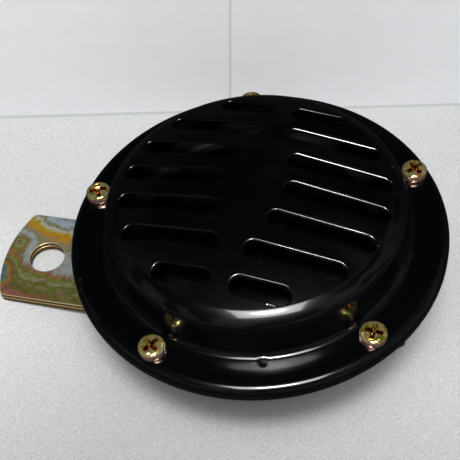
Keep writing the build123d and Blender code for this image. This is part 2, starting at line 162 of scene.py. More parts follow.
# Yellow chromate over zinc plate on strip: the film's thickness runs in drifting bands
# along the strip, so its colour goes from blue-grey through straw, orange, rose and olive.
film = {
    "halfWidth": 16.0, "lean": -0.006,      # film from edge to edge is 1; lean is per mm along
    "cloud": (26.0, 15.0, 15.0), "cloudTurn": 0.6, "drift": 0.18,       # turns are in radians
    "grain": (5.0, 0.35, 0.35), "grainTurn": 0.12, "grainShift": 0.06,
    "grainHeight": 0.015, "grainBump": 0.18,
    "end": 1.35,                            # the thickest film in the bands
    "bands": [
        (0.0, "#8d9ca6"), (0.08, "#b0bfc4"), (0.13, "#84845c"), (0.17, "#c4c8bc"),
        (0.22, "#b8a02c"), (0.27, "#cc9028"), (0.32, "#a08c6c"), (0.37, "#8e8e60"),
        (0.44, "#a4a894"), (0.50, "#b2b8b4"), (0.62, "#a2a8a4"), (0.68, "#966c58"),
        (0.72, "#9c7c48"), (0.76, "#6f7a28"), (0.82, "#9c9672"), (0.88, "#646c1e"),
        (0.94, "#8c7c54"), (1.02, "#6c6a2a"), (1.10, "#a0625a"), (1.16, "#b47c34"),
        (1.22, "#74902e"), (1.30, "#5f7f94"),
    ],
    # where the bath stood and left more film: x, y, reach and how much more
    "pools": [(-13.5, -7.4, 8.0, 0.62), (-10.5, 4.3, 6.5, 0.40), (9.5, -8.5, 6.0, 0.08)],
    "poolLevel": 3.0,                       # near the strip's upper face
    "spot": 1.7, "stain": "#55582a", "stainFar": 0.22, "stainNear": 0.55,
    # sheared sides are brown-gold, and the broken corners carry a pale painted highlight
    "edge": [
        (0.0, "#7e5e30"), (0.25, "#a07c40"), (0.45, "#ecdcb0"), (0.85, "#ecdcb0"),
        (0.96, "#c8c4a4"),
    ],
    "roughLow": 0.26, "roughHigh": 0.36, "metallic": 0.55,
}


def makeYellowZinc():
    material, tree, shader = newMaterial("yellowChromateZinc")
    coords = addNode(tree, "ShaderNodeTexCoord")
    place = coords.outputs["Object"]
    # the film's thickness: a ramp across the strip, with clouds, grain and pools over it
    spread = addNode(
        tree, "ShaderNodeMapping", Vector=place, Rotation=(0, 0, film["cloudTurn"]),
        Scale=[scaleFor(size) for size in film["cloud"]],
    )
    cloud = addNode(
        tree, "ShaderNodeTexNoise", Vector=spread.outputs["Vector"],
        Scale=1.0, Detail=6.0, Roughness=0.62, Distortion=0.6,
    )
    drift = addNode(
        tree, "ShaderNodeMapRange", Value=cloud.outputs["Fac"], From_Min=0.25, From_Max=0.75,
        To_Min=-film["drift"], To_Max=film["drift"],
    )
    grains = addNode(
        tree, "ShaderNodeMapping", Vector=place, Rotation=(0, 0, film["grainTurn"]),
        Scale=[scaleFor(size) for size in film["grain"]],
    )
    fine = addNode(
        tree, "ShaderNodeTexNoise", Vector=grains.outputs["Vector"], Scale=1.0, Detail=4.0,
    )
    parts = addNode(tree, "ShaderNodeSeparateXYZ", Vector=place)
    across = addNode(
        tree, "ShaderNodeMapRange", Value=parts.outputs["Y"],
        From_Min=film["halfWidth"] * mm, From_Max=-film["halfWidth"] * mm,
    )
    lean = addNode(
        tree, "ShaderNodeMath", {"operation": "MULTIPLY_ADD"},
        i0=parts.outputs["X"], i1=film["lean"] / mm, i2=across.outputs["Result"],
    )
    shift = addNode(
        tree, "ShaderNodeMath", {"operation": "MULTIPLY_ADD"},
        i0=fine.outputs["Fac"], i1=film["grainShift"], i2=drift.outputs["Result"],
    )
    thickness = addNode(
        tree, "ShaderNodeMath", {"operation": "ADD"},
        i0=lean.outputs["Value"], i1=shift.outputs["Value"],
    )
    for x, y, reach, more in film["pools"]:
        away = addNode(
            tree, "ShaderNodeVectorMath", {"operation": "DISTANCE"},
            i0=place, i1=(x * mm, y * mm, film["poolLevel"] * mm),
        )
        pool = addNode(
            tree, "ShaderNodeMapRange", {"interpolation_type": "SMOOTHSTEP"},
            Value=away.outputs["Value"], From_Max=reach * mm, To_Min=more, To_Max=0.0,
        )
        thickness = addNode(
            tree, "ShaderNodeMath", {"operation": "ADD"},
            i0=thickness.outputs["Value"], i1=pool.outputs["Result"],
        )
    order = addNode(
        tree, "ShaderNodeMath", {"operation": "DIVIDE"},
        i0=thickness.outputs["Value"], i1=film["end"],
    )
    ramp = addNode(tree, "ShaderNodeValToRGB", Fac=order.outputs["Value"])
    setRamp(ramp, [(spot / film["end"], colour) for spot, colour in film["bands"]])
    # mottling, stronger towards the near edge
    spots = addNode(
        tree, "ShaderNodeTexNoise", Vector=place, Scale=scaleFor(film["spot"]), Detail=3.0,
    )
    depth = addNode(
        tree, "ShaderNodeMapRange", Value=across.outputs["Result"], From_Min=0.30, From_Max=0.85,
        To_Min=film["stainFar"], To_Max=film["stainNear"],
    )
    stain = addNode(
        tree, "ShaderNodeMapRange", Value=spots.outputs["Fac"], From_Min=0.47, From_Max=0.62,
        To_Min=0.0, To_Max=depth.outputs["Result"],
    )
    mottled = addNode(
        tree, "ShaderNodeMix", {"data_type": "RGBA"}, Factor=stain.outputs["Result"],
        i6=ramp.outputs["Color"], i7=hexColor(film["stain"]),
    )
    # by how far a face is turned up: the sides, the broken corners with their pale painted
    # highlight, then the flat
    facing = addNode(tree, "ShaderNodeSeparateXYZ", Vector=coords.outputs["Normal"])
    steep = addNode(tree, "ShaderNodeMath", {"operation": "ABSOLUTE"}, i0=facing.outputs["Z"])
    edge = addNode(tree, "ShaderNodeValToRGB", Fac=steep.outputs["Value"])
    setRamp(edge, film["edge"])
    flat = addNode(
        tree, "ShaderNodeMapRange", Value=steep.outputs["Value"], From_Min=0.93, From_Max=0.985,
    )
    skin = addNode(
        tree, "ShaderNodeMix", {"data_type": "RGBA"}, Factor=flat.outputs["Result"],
        i6=edge.outputs["Color"], i7=mottled.outputs[2],
    )
    rough = addNode(
        tree, "ShaderNodeMapRange", Value=fine.outputs["Fac"], From_Min=0.3, From_Max=0.7,
        To_Min=film["roughLow"], To_Max=film["roughHigh"],
    )
    bump = addNode(
        tree, "ShaderNodeBump", Strength=film["grainBump"], Distance=film["grainHeight"] * mm,
        Height=fine.outputs["Fac"],
    )
    setInputs(
        tree, shader, Base_Color=skin.outputs[2], Roughness=rough.outputs["Result"],
        Normal=bump.outputs["Normal"], Metallic=film["metallic"],
    )
    return material


# Barrel-plated screws: the same film, thinner and brighter: gold on top going to olive,
# rose on the heads' sides, and a skin dented by the barrel.
barrel = {"drift": 2.4, "dent": 1.1, "dentHeight": 0.22, "dentBump": 0.8, "rough": 0.12}


def makeScrewZinc(name, bands, sideColour, metallic):
    material, tree, shader = newMaterial(name)
    coords = addNode(tree, "ShaderNodeTexCoord")
    place = coords.outputs["Object"]
    drift = addNode(
        tree, "ShaderNodeTexNoise", Vector=place, Scale=scaleFor(barrel["drift"]),
        Detail=2.0, Distortion=0.8,
    )
    gold = addNode(tree, "ShaderNodeValToRGB", Fac=drift.outputs["Fac"])
    setRamp(gold, bands)
    facing = addNode(tree, "ShaderNodeSeparateXYZ", Vector=coords.outputs["Normal"])
    side = addNode(
        tree, "ShaderNodeMapRange", Value=facing.outputs["Z"], From_Min=0.25, From_Max=0.6,
    )
    mix = addNode(
        tree, "ShaderNodeMix", {"data_type": "RGBA"}, Factor=side.outputs["Result"],
        i6=hexColor(sideColour), i7=gold.outputs["Color"],
    )
    dents = addNode(
        tree, "ShaderNodeTexNoise", Vector=place, Scale=scaleFor(barrel["dent"]), Detail=1.0,
    )
    bump = addNode(
        tree, "ShaderNodeBump", Strength=barrel["dentBump"], Distance=barrel["dentHeight"] * mm,
        Height=dents.outputs["Fac"],
    )
    setInputs(
        tree, shader, Base_Color=mix.outputs[2], Normal=bump.outputs["Normal"],
        Metallic=metallic, Roughness=barrel["rough"],
    )
    return material


# Plain metals and boards inside and behind the horn: one colour with a fine surface grain.
grainSizes = {"smoother": 0.06, "rougher": 0.08, "height": 0.02, "bump": 0.2}


def makePlain(name, colour, dark, metallic, rough, grain, specular=0.5):
    material, tree, shader = newMaterial(name)
    place = addNode(tree, "ShaderNodeTexCoord").outputs["Object"]
    noise = addNode(
        tree, "ShaderNodeTexNoise", Vector=place, Scale=scaleFor(grain), Detail=4.0,
    ).outputs["Fac"]
    mix = addNode(
        tree, "ShaderNodeMix", {"data_type": "RGBA"}, Factor=noise,
        i6=hexColor(colour), i7=hexColor(dark),
    )
    spread = addNode(
        tree, "ShaderNodeMapRange", Value=noise, From_Min=0.3, From_Max=0.7,
        To_Min=rough - grainSizes["smoother"], To_Max=rough + grainSizes["rougher"],
    )
    bump = addNode(
        tree, "ShaderNodeBump", Strength=grainSizes["bump"], Distance=grainSizes["height"] * mm,
        Height=noise,
    )
    setInputs(
        tree, shader, Base_Color=mix.outputs[2], Roughness=spread.outputs["Result"],
        Normal=bump.outputs["Normal"], Metallic=metallic, Specular_IOR_Level=specular,
    )
    return material


blackEnamel = makeBlackEnamel()
yellowZinc = makeYellowZinc()
screwZinc = makeScrewZinc(
    "brightYellowZinc",
    [(0.36, "#a8a044"), (0.46, "#f0de74"), (0.55, "#fff6b0"), (0.66, "#e0a870")],
    sideColour="#f6c4b0", metallic=0.88,
)
# the recess's walls take a darker, redder gold, all metal: painted shade in the recess
recessShadeZinc = makeScrewZinc(
    "recessShadeYellowZinc", [(0.35, "#b09a30"), (0.5, "#ffe07a"), (0.65, "#a85a28")],
    sideColour="#c08030", metallic=1.0,
)

# colour, colour of the grain, metallic, roughness, size of the grain, specular level if low
plainFinishes = {
    "brightZincPlate": ("#b4b8bc", "#8d9296", 1.0, 0.30, 1.2),      # barrel plated: cool, bright
    "rolledSpringSteel": ("#6d7073", "#56595c", 1.0, 0.34, 0.9),    # cold rolled: grey, soft sheen
    "turnedSoftIron": ("#5c5d5f", "#47484a", 1.0, 0.42, 0.8),       # turned: dull grey
    "rubberisedFibre": ("#2c2926", "#1d1b19", 0.0, 0.75, 0.7),      # punched sheet: matt, dark
    "phenolicBoard": ("#5a2f1c", "#44220f", 0.0, 0.42, 1.0),        # pressed laminate: brown, waxy
    "naturalNylon": ("#d8d3c3", "#c9c3b0", 0.0, 0.40, 1.0),         # moulded: milky
    "enamelledCopperWire": ("#a65a33", "#7e3f22", 1.0, 0.35, 0.5),  # drawn and varnished: red-brown
    "rolledBrass": ("#c9a45a", "#a98745", 1.0, 0.30, 1.0),          # rolled strip: straw
    "tinPlatedBrass": ("#8f9294", "#73767a", 1.0, 0.34, 1.0),       # stamped, tinned: pale grey
    "tungstenContact": ("#7a7b7e", "#626366", 1.0, 0.35, 0.4),      # sintered: even grey
    "paintedShadeBlack": ("#0a0b0c", "#060707", 0.0, 0.55, 0.8, 0.15),    # dull black, painted shade for the parts deep inside
    "satinBlackEnamel": ("#050506", "#030304", 0.0, 0.42, 1.6, 0.15),   # one thin coat: half matt
}
plain = {name: makePlain(name, *values) for name, values in plainFinishes.items()}

slotMaterial = {
    "black_paint": blackEnamel, "yellow_zinc": yellowZinc,
    "zinc": plain["brightZincPlate"], "spring_steel": plain["rolledSpringSteel"],
    "soft_iron": plain["turnedSoftIron"], "gasket_fibre": plain["rubberisedFibre"],
    "phenolic": plain["phenolicBoard"], "nylon": plain["naturalNylon"],
    "copper": plain["enamelledCopperWire"], "brass": plain["rolledBrass"],
    "contact_metal": plain["tungstenContact"],
}
for row in frame["record"]["subparts"]:
    paint(row["node"], slotMaterial[row["material_slot"]])

# pieces with a finish over their metal, and the parts deep inside painted near-black as painted
# shade
overFinish = {
    "satinBlackEnamel": ["tone_disc"],
    "tinPlatedBrass": ["positive_terminal", "negative_terminal", "terminal_rivets"],
    "paintedShadeBlack": [
        "armature_nut", "tone_disc_washer", "tone_disc_spacer", "armature", "diaphragm",
    ],
}
for finish, nodes in overFinish.items():
    for node in nodes:
        paint(node, plain[finish])


# tools for new pieces
mergeGap = 0.0005       # points closer than this are one


# a finished bmesh in millimetres becomes a piece that rides on a body
def finishPiece(board, name, material, body, sharp, replaced):
    bmesh.ops.remove_doubles(board, verts=board.verts, dist=mergeGap)
    bmesh.ops.recalc_face_normals(board, faces=board.faces)
    for face in board.faces:
        face.smooth = True
    bmesh.ops.scale(board, vec=(mm, mm, mm), verts=board.verts)
    mesh = bpy.data.meshes.new(name)
    board.to_mesh(mesh)
    board.free()
    mesh.set_sharp_from_angle(angle=math.radians(sharp))
    mesh.materials.append(material)
    piece = bpy.data.objects.new(name, mesh)
    scene.collection.objects.link(piece)
    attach(piece, body)
    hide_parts(*replaced)
    return piece


# a run of edges in the XZ plane, each corner (radius, height, bend) rounded by its bend
def profileWire(board, corners, segments):
    points = [Vector((x, 0, z)) for x, z, bend in corners]
    verts = [board.verts.new(point) for point in points]
    for one, two in zip(verts, verts[1:]):
        board.edges.new((one, two))
    for i in range(1, len(corners) - 1):
        bend = corners[i][2]
        if not bend:
            continue
        half = (points[i - 1] - points[i]).angle(points[i + 1] - points[i]) / 2
        bmesh.ops.bevel(
            board, geom=[verts[i]], offset=bend / math.tan(half), offset_type="OFFSET",
            segments=segments, profile=0.5, affect="VERTICES", material=-1,
        )


def spinAll(board, steps):
    bmesh.ops.spin(
        board, geom=board.verts[:] + board.edges[:], cent=(0, 0, 0), axis=(0, 0, 1),
        angle=2 * math.pi, steps=steps, use_merge=True, use_duplicate=False,
    )
    bmesh.ops.remove_doubles(board, verts=board.verts, dist=mergeGap)


# the edges of a turned shell that lie on one circle
def ringEdges(board, radius, height, slack=0.002):
    def onCircle(v):
        away = math.hypot(v.co.x, v.co.y) - radius
        return abs(away) < slack and abs(v.co.z - height) < slack
    return [e for e in board.edges if onCircle(e.verts[0]) and onCircle(e.verts[1])]


# one more loop from a loop of edges: its vertices and its edges
def extrudeLoop(board, edges):
    out = bmesh.ops.extrude_edge_only(board, edges=edges)["geom"]
    verts = [g for g in out if isinstance(g, bmesh.types.BMVert)]
    edges = [g for g in out if isinstance(g, bmesh.types.BMEdge)]
    fresh = set(verts)
    return verts, [e for e in edges if all(v in fresh for v in e.verts)]


# each thing once, in the order given
def onlyOnce(things):
    return list(dict.fromkeys(things))


# cuts the flat faces that a test picks into square cells, so that they can be bent
def cutCells(board, isFlat, cell, count):
    for axis in (Vector((1, 0, 0)), Vector((0, 1, 0))):
        for k in range(-count, count + 1):
            faces = [f for f in board.faces if isFlat(f)]
            edges = [e for f in faces for e in f.edges]
            verts = [v for f in faces for v in f.verts]
            bmesh.ops.bisect_plane(
                board, geom=onlyOnce([*faces, *edges, *verts]),
                plane_co=axis * k * cell, plane_no=axis,
            )


print("stage: front cover")
# One pressing: a slotted dome, a drafted skirt, a flat screw deck and a rolled rim.
cover = {
    "sheet": 1.0,
    "rim": 52.0, "rimBend": 2.4, "lip": 29.0, "lipEdge": 0.25,
    "deck": 33.1, "foot": 41.7, "draft": 7.0, "footBend": 2.0, "deckRings": (44.6, 45.8, 47.2),
    "crown": 51.4, "ball": 124.0,
    "shoulderBend": 6.2, "shoulderEase": 0.52, "shoulderOpen": 9.5,
    "shoulderTight": 4.6, "shoulderDrop": 0.42, "shoulderInside": 1.5,      # last: in sheets
    "slotHalf": 2.4, "slotSides": 32, "pitch": 10.0, "reach": 33.8, "webs": (10.8, 9.0, 5.8, 5.0),
    "mouth": 0.52, "mouthTurns": 4,     # rounding of a slot's outer edge
    "pips": 5, "pipCircle": 43.4, "pipReach": 1.9, "pipRise": 0.17, "pipTurn": 216.0, "pipCuts": 4,
    "steps": 240, "bendSegments": 9, "sharp": 40.0,
    "cell": 2.5,                        # size of the dome's mesh cells
}


def ballHeight(radius):
    return cover["crown"] - cover["ball"] + math.sqrt(cover["ball"] ** 2 - radius**2)


# where the shoulder's bend leaves the dome, and the corner that the bend rounds
def shoulderSeam():
    slope = math.tan(math.radians(cover["draft"]))
    bend, centreZ, height = cover["shoulderBend"], cover["crown"] - cover["ball"], cover["crown"]
    inset = bend / math.cos(math.radians(cover["draft"]))
    for _ in range(12):     # each round comes closer to the bend's centre
        radius = cover["foot"] - (height - cover["deck"]) * slope - inset
        height = centreZ + math.sqrt((cover["ball"] - bend) ** 2 - radius**2)
    lean = math.atan2(radius, height - centreZ)
    seam = Vector((cover["ball"] * math.sin(lean), centreZ + cover["ball"] * math.cos(lean)))
    run = Vector((math.cos(lean), -math.sin(lean)))     # the dome's tangent there
    gap = cover["foot"] - (seam.y - cover["deck"]) * slope - seam.x
    return seam, seam + run * gap / (run.x + run.y * slope)


# the bend opens out towards the dome, as a drawn sheet does
def shoulderLine(seam, corner):
    draft = math.radians(cover["draft"])
    run, drop = corner - seam, Vector((math.sin(draft), -math.cos(draft)))
    early = seam + run * cover["shoulderEase"]
    late = corner + drop * run.length * cover["shoulderDrop"]
    return [(early.x, early.y, cover["shoulderOpen"]), (late.x, late.y, cover["shoulderTight"])]


# the middle and the straight length of each slot, in rows from the middle one out
def slotPlaces():
    for row, web in enumerate(cover["webs"]):
        away = row * cover["pitch"]
        end = math.sqrt(cover["reach"] ** 2 - away**2)
        for up in (0,) if row == 0 else (-1, 1):
            for side in (-1, 1):
                yield (side * (end + web) / 2, up * away), end - web


# a slot's rounded mouth and its wall; gives the mouth's edges and the wall's lower edges
def addSlot(board, middle, length, top, floor):
    def endOf(v):
        return Vector((middle[0] + math.copysign(length / 2, v.co.x - middle[0]), middle[1]))
    half, sides = cover["slotHalf"] + cover["mouth"], cover["slotSides"]
    loop = bmesh.ops.create_circle(board, segments=sides, radius=half)["verts"]
    bmesh.ops.rotate(board, verts=loop, matrix=Matrix.Rotation(math.pi / sides, 3, "Z"))
    for v in loop:
        v.co.x += math.copysign(length / 2, v.co.x)
    bmesh.ops.translate(board, verts=loop, vec=(*middle, top))
    mouth = onlyOnce(e for v in loop for e in v.link_edges)
    edges = mouth
    for i in range(1, cover["mouthTurns"] + 1):
        angle = math.pi / 2 * i / cover["mouthTurns"]
        verts, edges = extrudeLoop(board, edges)
        for v in verts:
            end = endOf(v)
            out = (v.co.xy - end).normalized() * (half - cover["mouth"] * math.sin(angle))
            v.co = (*(end + out), top - cover["mouth"] * (1 - math.cos(angle)))
    verts, edges = extrudeLoop(board, edges)
    for v in verts:
        v.co.z = floor
    return mouth, edges


# small pips pressed up at the skirt's foot, between the screws
def raisePips(board):
    angles = [cover["pipTurn"] + 360 / cover["pips"] * k for k in range(cover["pips"])]
    spots = [
        Vector((cover["pipCircle"], 0)) @ Matrix.Rotation(-math.radians(angle), 2)
        for angle in angles
    ]
    below, over, around = 0.3, 3.0, 1.0     # what counts as the deck's skin, and as near a pip
    def gap(point):
        return min((point.xy - spot).length for spot in spots)
    def onDeck(point):
        return -below < point.z - cover["deck"] < over
    def nearPip(point):
        return onDeck(point) and gap(point) < cover["pipReach"] + around
    near = [f for f in board.faces if nearPip(f.calc_center_median())]
    bmesh.ops.subdivide_edges(
        board, edges=onlyOnce(e for f in near for e in f.edges),
        cuts=cover["pipCuts"], use_grid_fill=True,
    )
    for v in board.verts:
        if onDeck(v.co) and gap(v.co) < cover["pipReach"]:
            away = gap(v.co) / cover["pipReach"]
            v.co.z += cover["pipRise"] * (1 + math.cos(math.pi * away)) / 2


# outside from the dome's edge to the lip, then back along the inside
def coverProfile(seam, corner):
    sheet, lean = cover["sheet"], math.radians(cover["draft"])
    deck, rim, inside = cover["deck"], cover["rim"], cover["rim"] - cover["sheet"]
    innerFoot = cover["foot"] - sheet / math.cos(lean) + sheet * math.tan(lean)
    innerBend = cover["shoulderBend"] - sheet * cover["shoulderInside"]
    return [
        (seam.x, seam.y, 0), *shoulderLine(seam, corner),
        (cover["foot"], deck, cover["footBend"]), *[(r, deck, 0) for r in cover["deckRings"]],
        (rim, deck, cover["rimBend"]),
        (rim, cover["lip"], cover["lipEdge"]), (inside, cover["lip"], cover["lipEdge"]),
        (inside, deck - sheet, cover["rimBend"] - sheet),
        (innerFoot, deck - sheet, cover["footBend"] + sheet),
        (corner.x - sheet, corner.y - sheet, innerBend), (seam.x, seam.y - sheet, 0),
    ]


def makeCover():
    board = bmesh.new()
    seam, corner = shoulderSeam()
    profileWire(board, coverProfile(seam, corner), cover["bendSegments"])
    spinAll(board, cover["steps"])
    raisePips(board)
    # the dome starts as a flat plate with the slots in it
    top, floor = seam.y, seam.y - cover["sheet"]
    mouths, feet = ringEdges(board, seam.x, top), ringEdges(board, seam.x, floor)
    for middle, length in slotPlaces():
        mouth, foot = addSlot(board, middle, length, top, floor)
        mouths += mouth
        feet += foot
    bmesh.ops.triangle_fill(board, use_beauty=True, edges=mouths, normal=(0, 0, 1))
    bmesh.ops.triangle_fill(board, use_beauty=True, edges=feet, normal=(0, 0, -1))
    slack = 0.001       # how far off a point may be and still count as on a skin or the seam
    def onSkin(v):
        return min(abs(v.co.z - top), abs(v.co.z - floor)) < slack / 10
    def isFlat(face):
        return all(onSkin(v) for v in face.verts) and face.calc_center_median().xy.length < seam.x
    # once both its skins are in cells, the plate is bent to the ball
    cutCells(board, isFlat, cover["cell"], int(seam.x / cover["cell"]))
    for v in board.verts:
        if v.co.xy.length < seam.x - slack and v.co.z > floor - slack:
            v.co.z += ballHeight(v.co.xy.length) - top
    bmesh.ops.transform(board, matrix=hornPlaceMm, verts=board.verts)
    piece = finishPiece(board, "slottedCover", blackEnamel, "horn", cover["sharp"], ["front_cover"])
    # the dome's skin shades as a true ball, so that reflections stay clean around the slots
    heart = Vector((*horn["axis"], cover["crown"] - cover["ball"]))
    normals = []
    for v in piece.data.vertices:
        ray = v.co / mm - heart
        offBall = abs(ray.length - cover["ball"])
        onDome = ray.xy.length < seam.x + 10 * slack and offBall < 4 * slack
        normals.append(ray.normalized() if onDome else Vector((0, 0, 0)))
    piece.data.normals_split_custom_set_from_vertices(normals)


makeCover()


print("stage: rim screws")
# M4 pan heads with a tapered cross recess, zinc plated and yellow passivated.
screw = {
    "circle": 47.1, "turn": 180.0, "under": 33.1,
    "driven": (28.0, -12.0, 33.0, 15.0, 50.0),      # how each one came to rest
    "head": 3.5, "height": 2.6, "side": 1.3, "round": 3.0, "headEdge": 0.18,
    "capRing": 3.05, "rimRings": (3.2, 3.32, 3.42, 3.48),
    "arm": 2.45, "armHalf": 0.6, "depth": 1.75, "floorArm": 0.75, "floorHalf": 0.3,
    "shank": 2.0, "length": 8.0, "neck": 0.6, "tip": 0.4, "tipRise": 0.35,
    "pitch": 0.7, "threadDepth": 0.3, "crest": 0.12,    # crest: half its width, in pitches
    "steps": 48, "bendSegments": 5, "cell": 0.3, "sharp": 32.0,
}


# crests and roots down a shank
def threadRings(start, stop):
    crest, root = screw["shank"], screw["shank"] - screw["threadDepth"]
    pitch, rows, z = screw["pitch"], [], start
    while z - pitch > stop:
        rows += [
            (crest, z - pitch * screw["crest"], 0), (root, z - pitch * 0.5, 0),
            (crest, z - pitch * (1 - screw["crest"]), 0),
        ]
        z -= pitch
    return rows


# the pan head's crown: nearly flat in the middle and turning down to its side
def headTop(radius):
    left = max(0.0, 1 - (radius / screw["head"]) ** screw["round"])
    return screw["side"] + (screw["height"] - screw["side"]) * left ** (1 / screw["round"])


outer = 0.9     # the cross's points beyond this, along either axis, are at an arm's end


# puts the cross's points at the ends of its arms and in the corners between them
def setCross(verts, arm, half, height):
    for v in verts:
        v.co.x = math.copysign(arm if abs(v.co.x) > outer else half, v.co.x)
        v.co.y = math.copysign(arm if abs(v.co.y) > outer else half, v.co.y)
        v.co.z = height


# the head is a flat plate with the cross in it until its cells are bent to the crown
def makeScrew(board):
    plate, shank, length = headTop(screw["capRing"]), screw["shank"], screw["length"]
    profileWire(board, [
        (screw["capRing"], plate, 0), *[(r, headTop(r), 0) for r in screw["rimRings"]],
        (screw["head"], screw["side"], 0), (screw["head"], 0.0, screw["headEdge"]), (shank, 0.0, 0),
        *threadRings(-screw["neck"], screw["tip"] - length), (shank, screw["tipRise"] - length, 0),
        (shank - screw["tip"], -length, 0), (0.0, -length, 0),
    ], screw["bendSegments"])
    spinAll(board, screw["steps"])
    # the cross: a grid of nine without its corners, kept above the head while its walls are drawn
    above = plate + 1.0
    grid = bmesh.ops.create_grid(board, x_segments=3, y_segments=3, size=1.0)["verts"]
    corners = [v for v in grid if abs(v.co.x) > outer and abs(v.co.y) > outer]
    arms = [v for v in grid if v not in corners]
    bmesh.ops.delete(board, geom=corners, context="VERTS")
    setCross(arms, screw["arm"], screw["armHalf"], above)
    cross = [f for f in board.faces if f.calc_center_median().z > above - 0.1]
    sunk = bmesh.ops.extrude_face_region(board, geom=cross)["geom"]
    bmesh.ops.delete(board, geom=[f for f in cross if f.is_valid], context="FACES_ONLY")
    low = [g for g in sunk if isinstance(g, bmesh.types.BMVert)]
    setCross(low, screw["floorArm"], screw["floorHalf"], screw["height"] - screw["depth"])
    for v in arms:
        v.co.z = plate
    flat, wide = 1e-5, screw["capRing"] + 0.01
    def onPlate(v):
        return abs(v.co.z - plate) < flat and v.co.xy.length < wide
    def isOpen(edge):
        return len(edge.link_faces) == 1 and onPlate(edge.verts[0]) and onPlate(edge.verts[1])
    edges = [e for e in board.edges if isOpen(e)]
    bmesh.ops.triangle_fill(board, use_beauty=True, edges=edges, normal=(0, 0, 1))
    def isFlat(face):
        return all(onPlate(v) for v in face.verts)
    cutCells(board, isFlat, screw["cell"], int(screw["capRing"] / screw["cell"]))
    for v in board.verts:
        if onPlate(v):
            v.co.z = headTop(v.co.xy.length)


def makeScrews():
    board = bmesh.new()
    makeScrew(board)
    one = bpy.data.meshes.new("oneScrew")
    board.to_mesh(one)
    board.free()
    whole = bmesh.new()
    spots = []
    for k, driven in enumerate(screw["driven"]):
        before = set(whole.verts)
        whole.from_mesh(one)
        fresh = [v for v in whole.verts if v not in before]
        around = math.radians(screw["turn"] + 360 / len(screw["driven"]) * k)
        place = (
            hornPlaceMm @ Matrix.Rotation(around, 4, "Z")
            @ Matrix.Translation((screw["circle"], 0, screw["under"]))
            @ Matrix.Rotation(math.radians(driven), 4, "Z")
        )
        bmesh.ops.transform(whole, matrix=place, verts=fresh)
        spots.append(place.translation.xy)
    bpy.data.meshes.remove(one)
    piece = finishPiece(
        whole, "crossPanScrews", screwZinc, "horn", screw["sharp"], ["cover_screws"],
    )
    # faces inside the cross, which lie off the crown, take the recess's darker finish, painted
    # shade
    piece.data.materials.append(recessShadeZinc)
    offCrown, offFloor = 0.06, 0.05
    floor = screw["under"] + screw["height"] - screw["depth"]
    for face in piece.data.polygons:
        middle = face.center / mm
        away = min((middle.xy - spot).length for spot in spots)
        gap = abs(middle.z - screw["under"] - headTop(min(away, screw["head"])))
        if away < screw["arm"] and middle.z > floor - offFloor and gap >= offCrown:
            face.material_index = 1


makeScrews()


print("stage: bracket, nuts and the small pieces behind")
# nodes whose sharp edges are broken: the new piece's name and the width of its bevels
eased = {
    "bracket_front_leaf": ("frontLeaf", 0.22), "bracket_back_leaf": ("backLeaf", 0.22),
    "stud_nut": ("studNut", 0.2), "stud_spring_washer": ("springWasher", 0.2),
    "adjusting_locknut": ("adjusterLocknut", 0.12), "terminal_plate": ("terminalBoard", 0.15),
    "positive_terminal": ("positiveBlade", 0.12), "negative_terminal": ("negativeBlade", 0.12),
    "terminal_rivets": ("terminalRivets", 0.2), "breaker_foot_rivets": ("breakerRivets", 0.2),
}
easing = {
    "merge": 0.001,         # a CAD mesh is loose triangles
    "flat": 0.6,            # faces that meet at less are one face
    "sharp": 28.0,          # edges that meet at more are broken
    "shading": 50.0,
}


# a copy of a CAD node with its flat faces made whole and its sharp edges broken
def easeNode(node, name, width):
    source = frame["nodes"][node].data
    board = bmesh.new()
    board.from_mesh(source)
    bmesh.ops.scale(board, vec=(1 / mm, 1 / mm, 1 / mm), verts=board.verts)
    bmesh.ops.remove_doubles(board, verts=board.verts, dist=easing["merge"])
    bmesh.ops.dissolve_limit(
        board, angle_limit=math.radians(easing["flat"]), verts=board.verts, edges=board.edges,
    )
    sharp = math.radians(easing["sharp"])
    edges = [e for e in board.edges if len(e.link_faces) == 2 and e.calc_face_angle(0) > sharp]
    bmesh.ops.bevel(
        board, geom=edges, offset=width, offset_type="OFFSET", segments=2, profile=0.5,
        affect="EDGES", clamp_overlap=True, material=-1,
    )
    piece = finishPiece(board, name, source.materials[0], "horn", easing["shading"], [node])
    piece.modifiers.new("evenNormals", "WEIGHTED_NORMAL").keep_sharp = True


for node, (name, width) in eased.items():
    easeNode(node, name, width)


print("stage: floor, wall, lamps and camera")
room = {
    "slope": 9.3 / 79.6,                    # the horn lies on its stud and the bracket's end
    "touch": -13.5,                         # where along X the floor is at no height
    "wallFoot": ((-38.6, 56.3), (120.0, 104.3)),
    "wallHeight": 75.0,
    "reach": 900.0,                         # how far the boards run on
    "groutHeight": 1.3,
    "seam": ((81.4, 82.4, 0.0), (86.0, 86.7, 51.4)),    # its ends: left, right, height
    "proud": 0.3,                           # grout and seam before the wall
}


def floorHeight(x):
    return -room["slope"] * (x - room["touch"])


# a board of four corners that faces the horn
def addPlane(name, corners, material):
    mesh = bpy.data.meshes.new(name)
    board = bmesh.new()
    face = board.faces.new([board.verts.new(Vector(corner) * mm) for corner in corners])
    face.normal_update()
    heart = Vector((*horn["axis"], horn["rimFoot"])) * mm
    if face.normal.dot(heart - face.calc_center_median()) < 0:
        face.normal_flip()
    board.to_mesh(mesh)
    board.free()
    mesh.materials.append(material)
    thing = bpy.data.objects.new(name, mesh)
    scene.collection.objects.link(thing)


# colour at the back and the front, the darker front being painted shade, colour in reflections,
# size of the grain, its contrast, and how much paler the near left is, a painted pool of light
boards = {
    "speckledTable": ("#bfc0c0", "#a0a2a1", "#1c1e20", 0.34, 0.19, 0.25),
    "paleWall": ("#e5e6e8", "#e5e6e8", "#1c1d20", 8.0, 0.01, 0.0),
    "greyGrout": ("#ced2d0", "#ced2d0", "#1c1d20", 1.0, 0.02, 0.0),
}
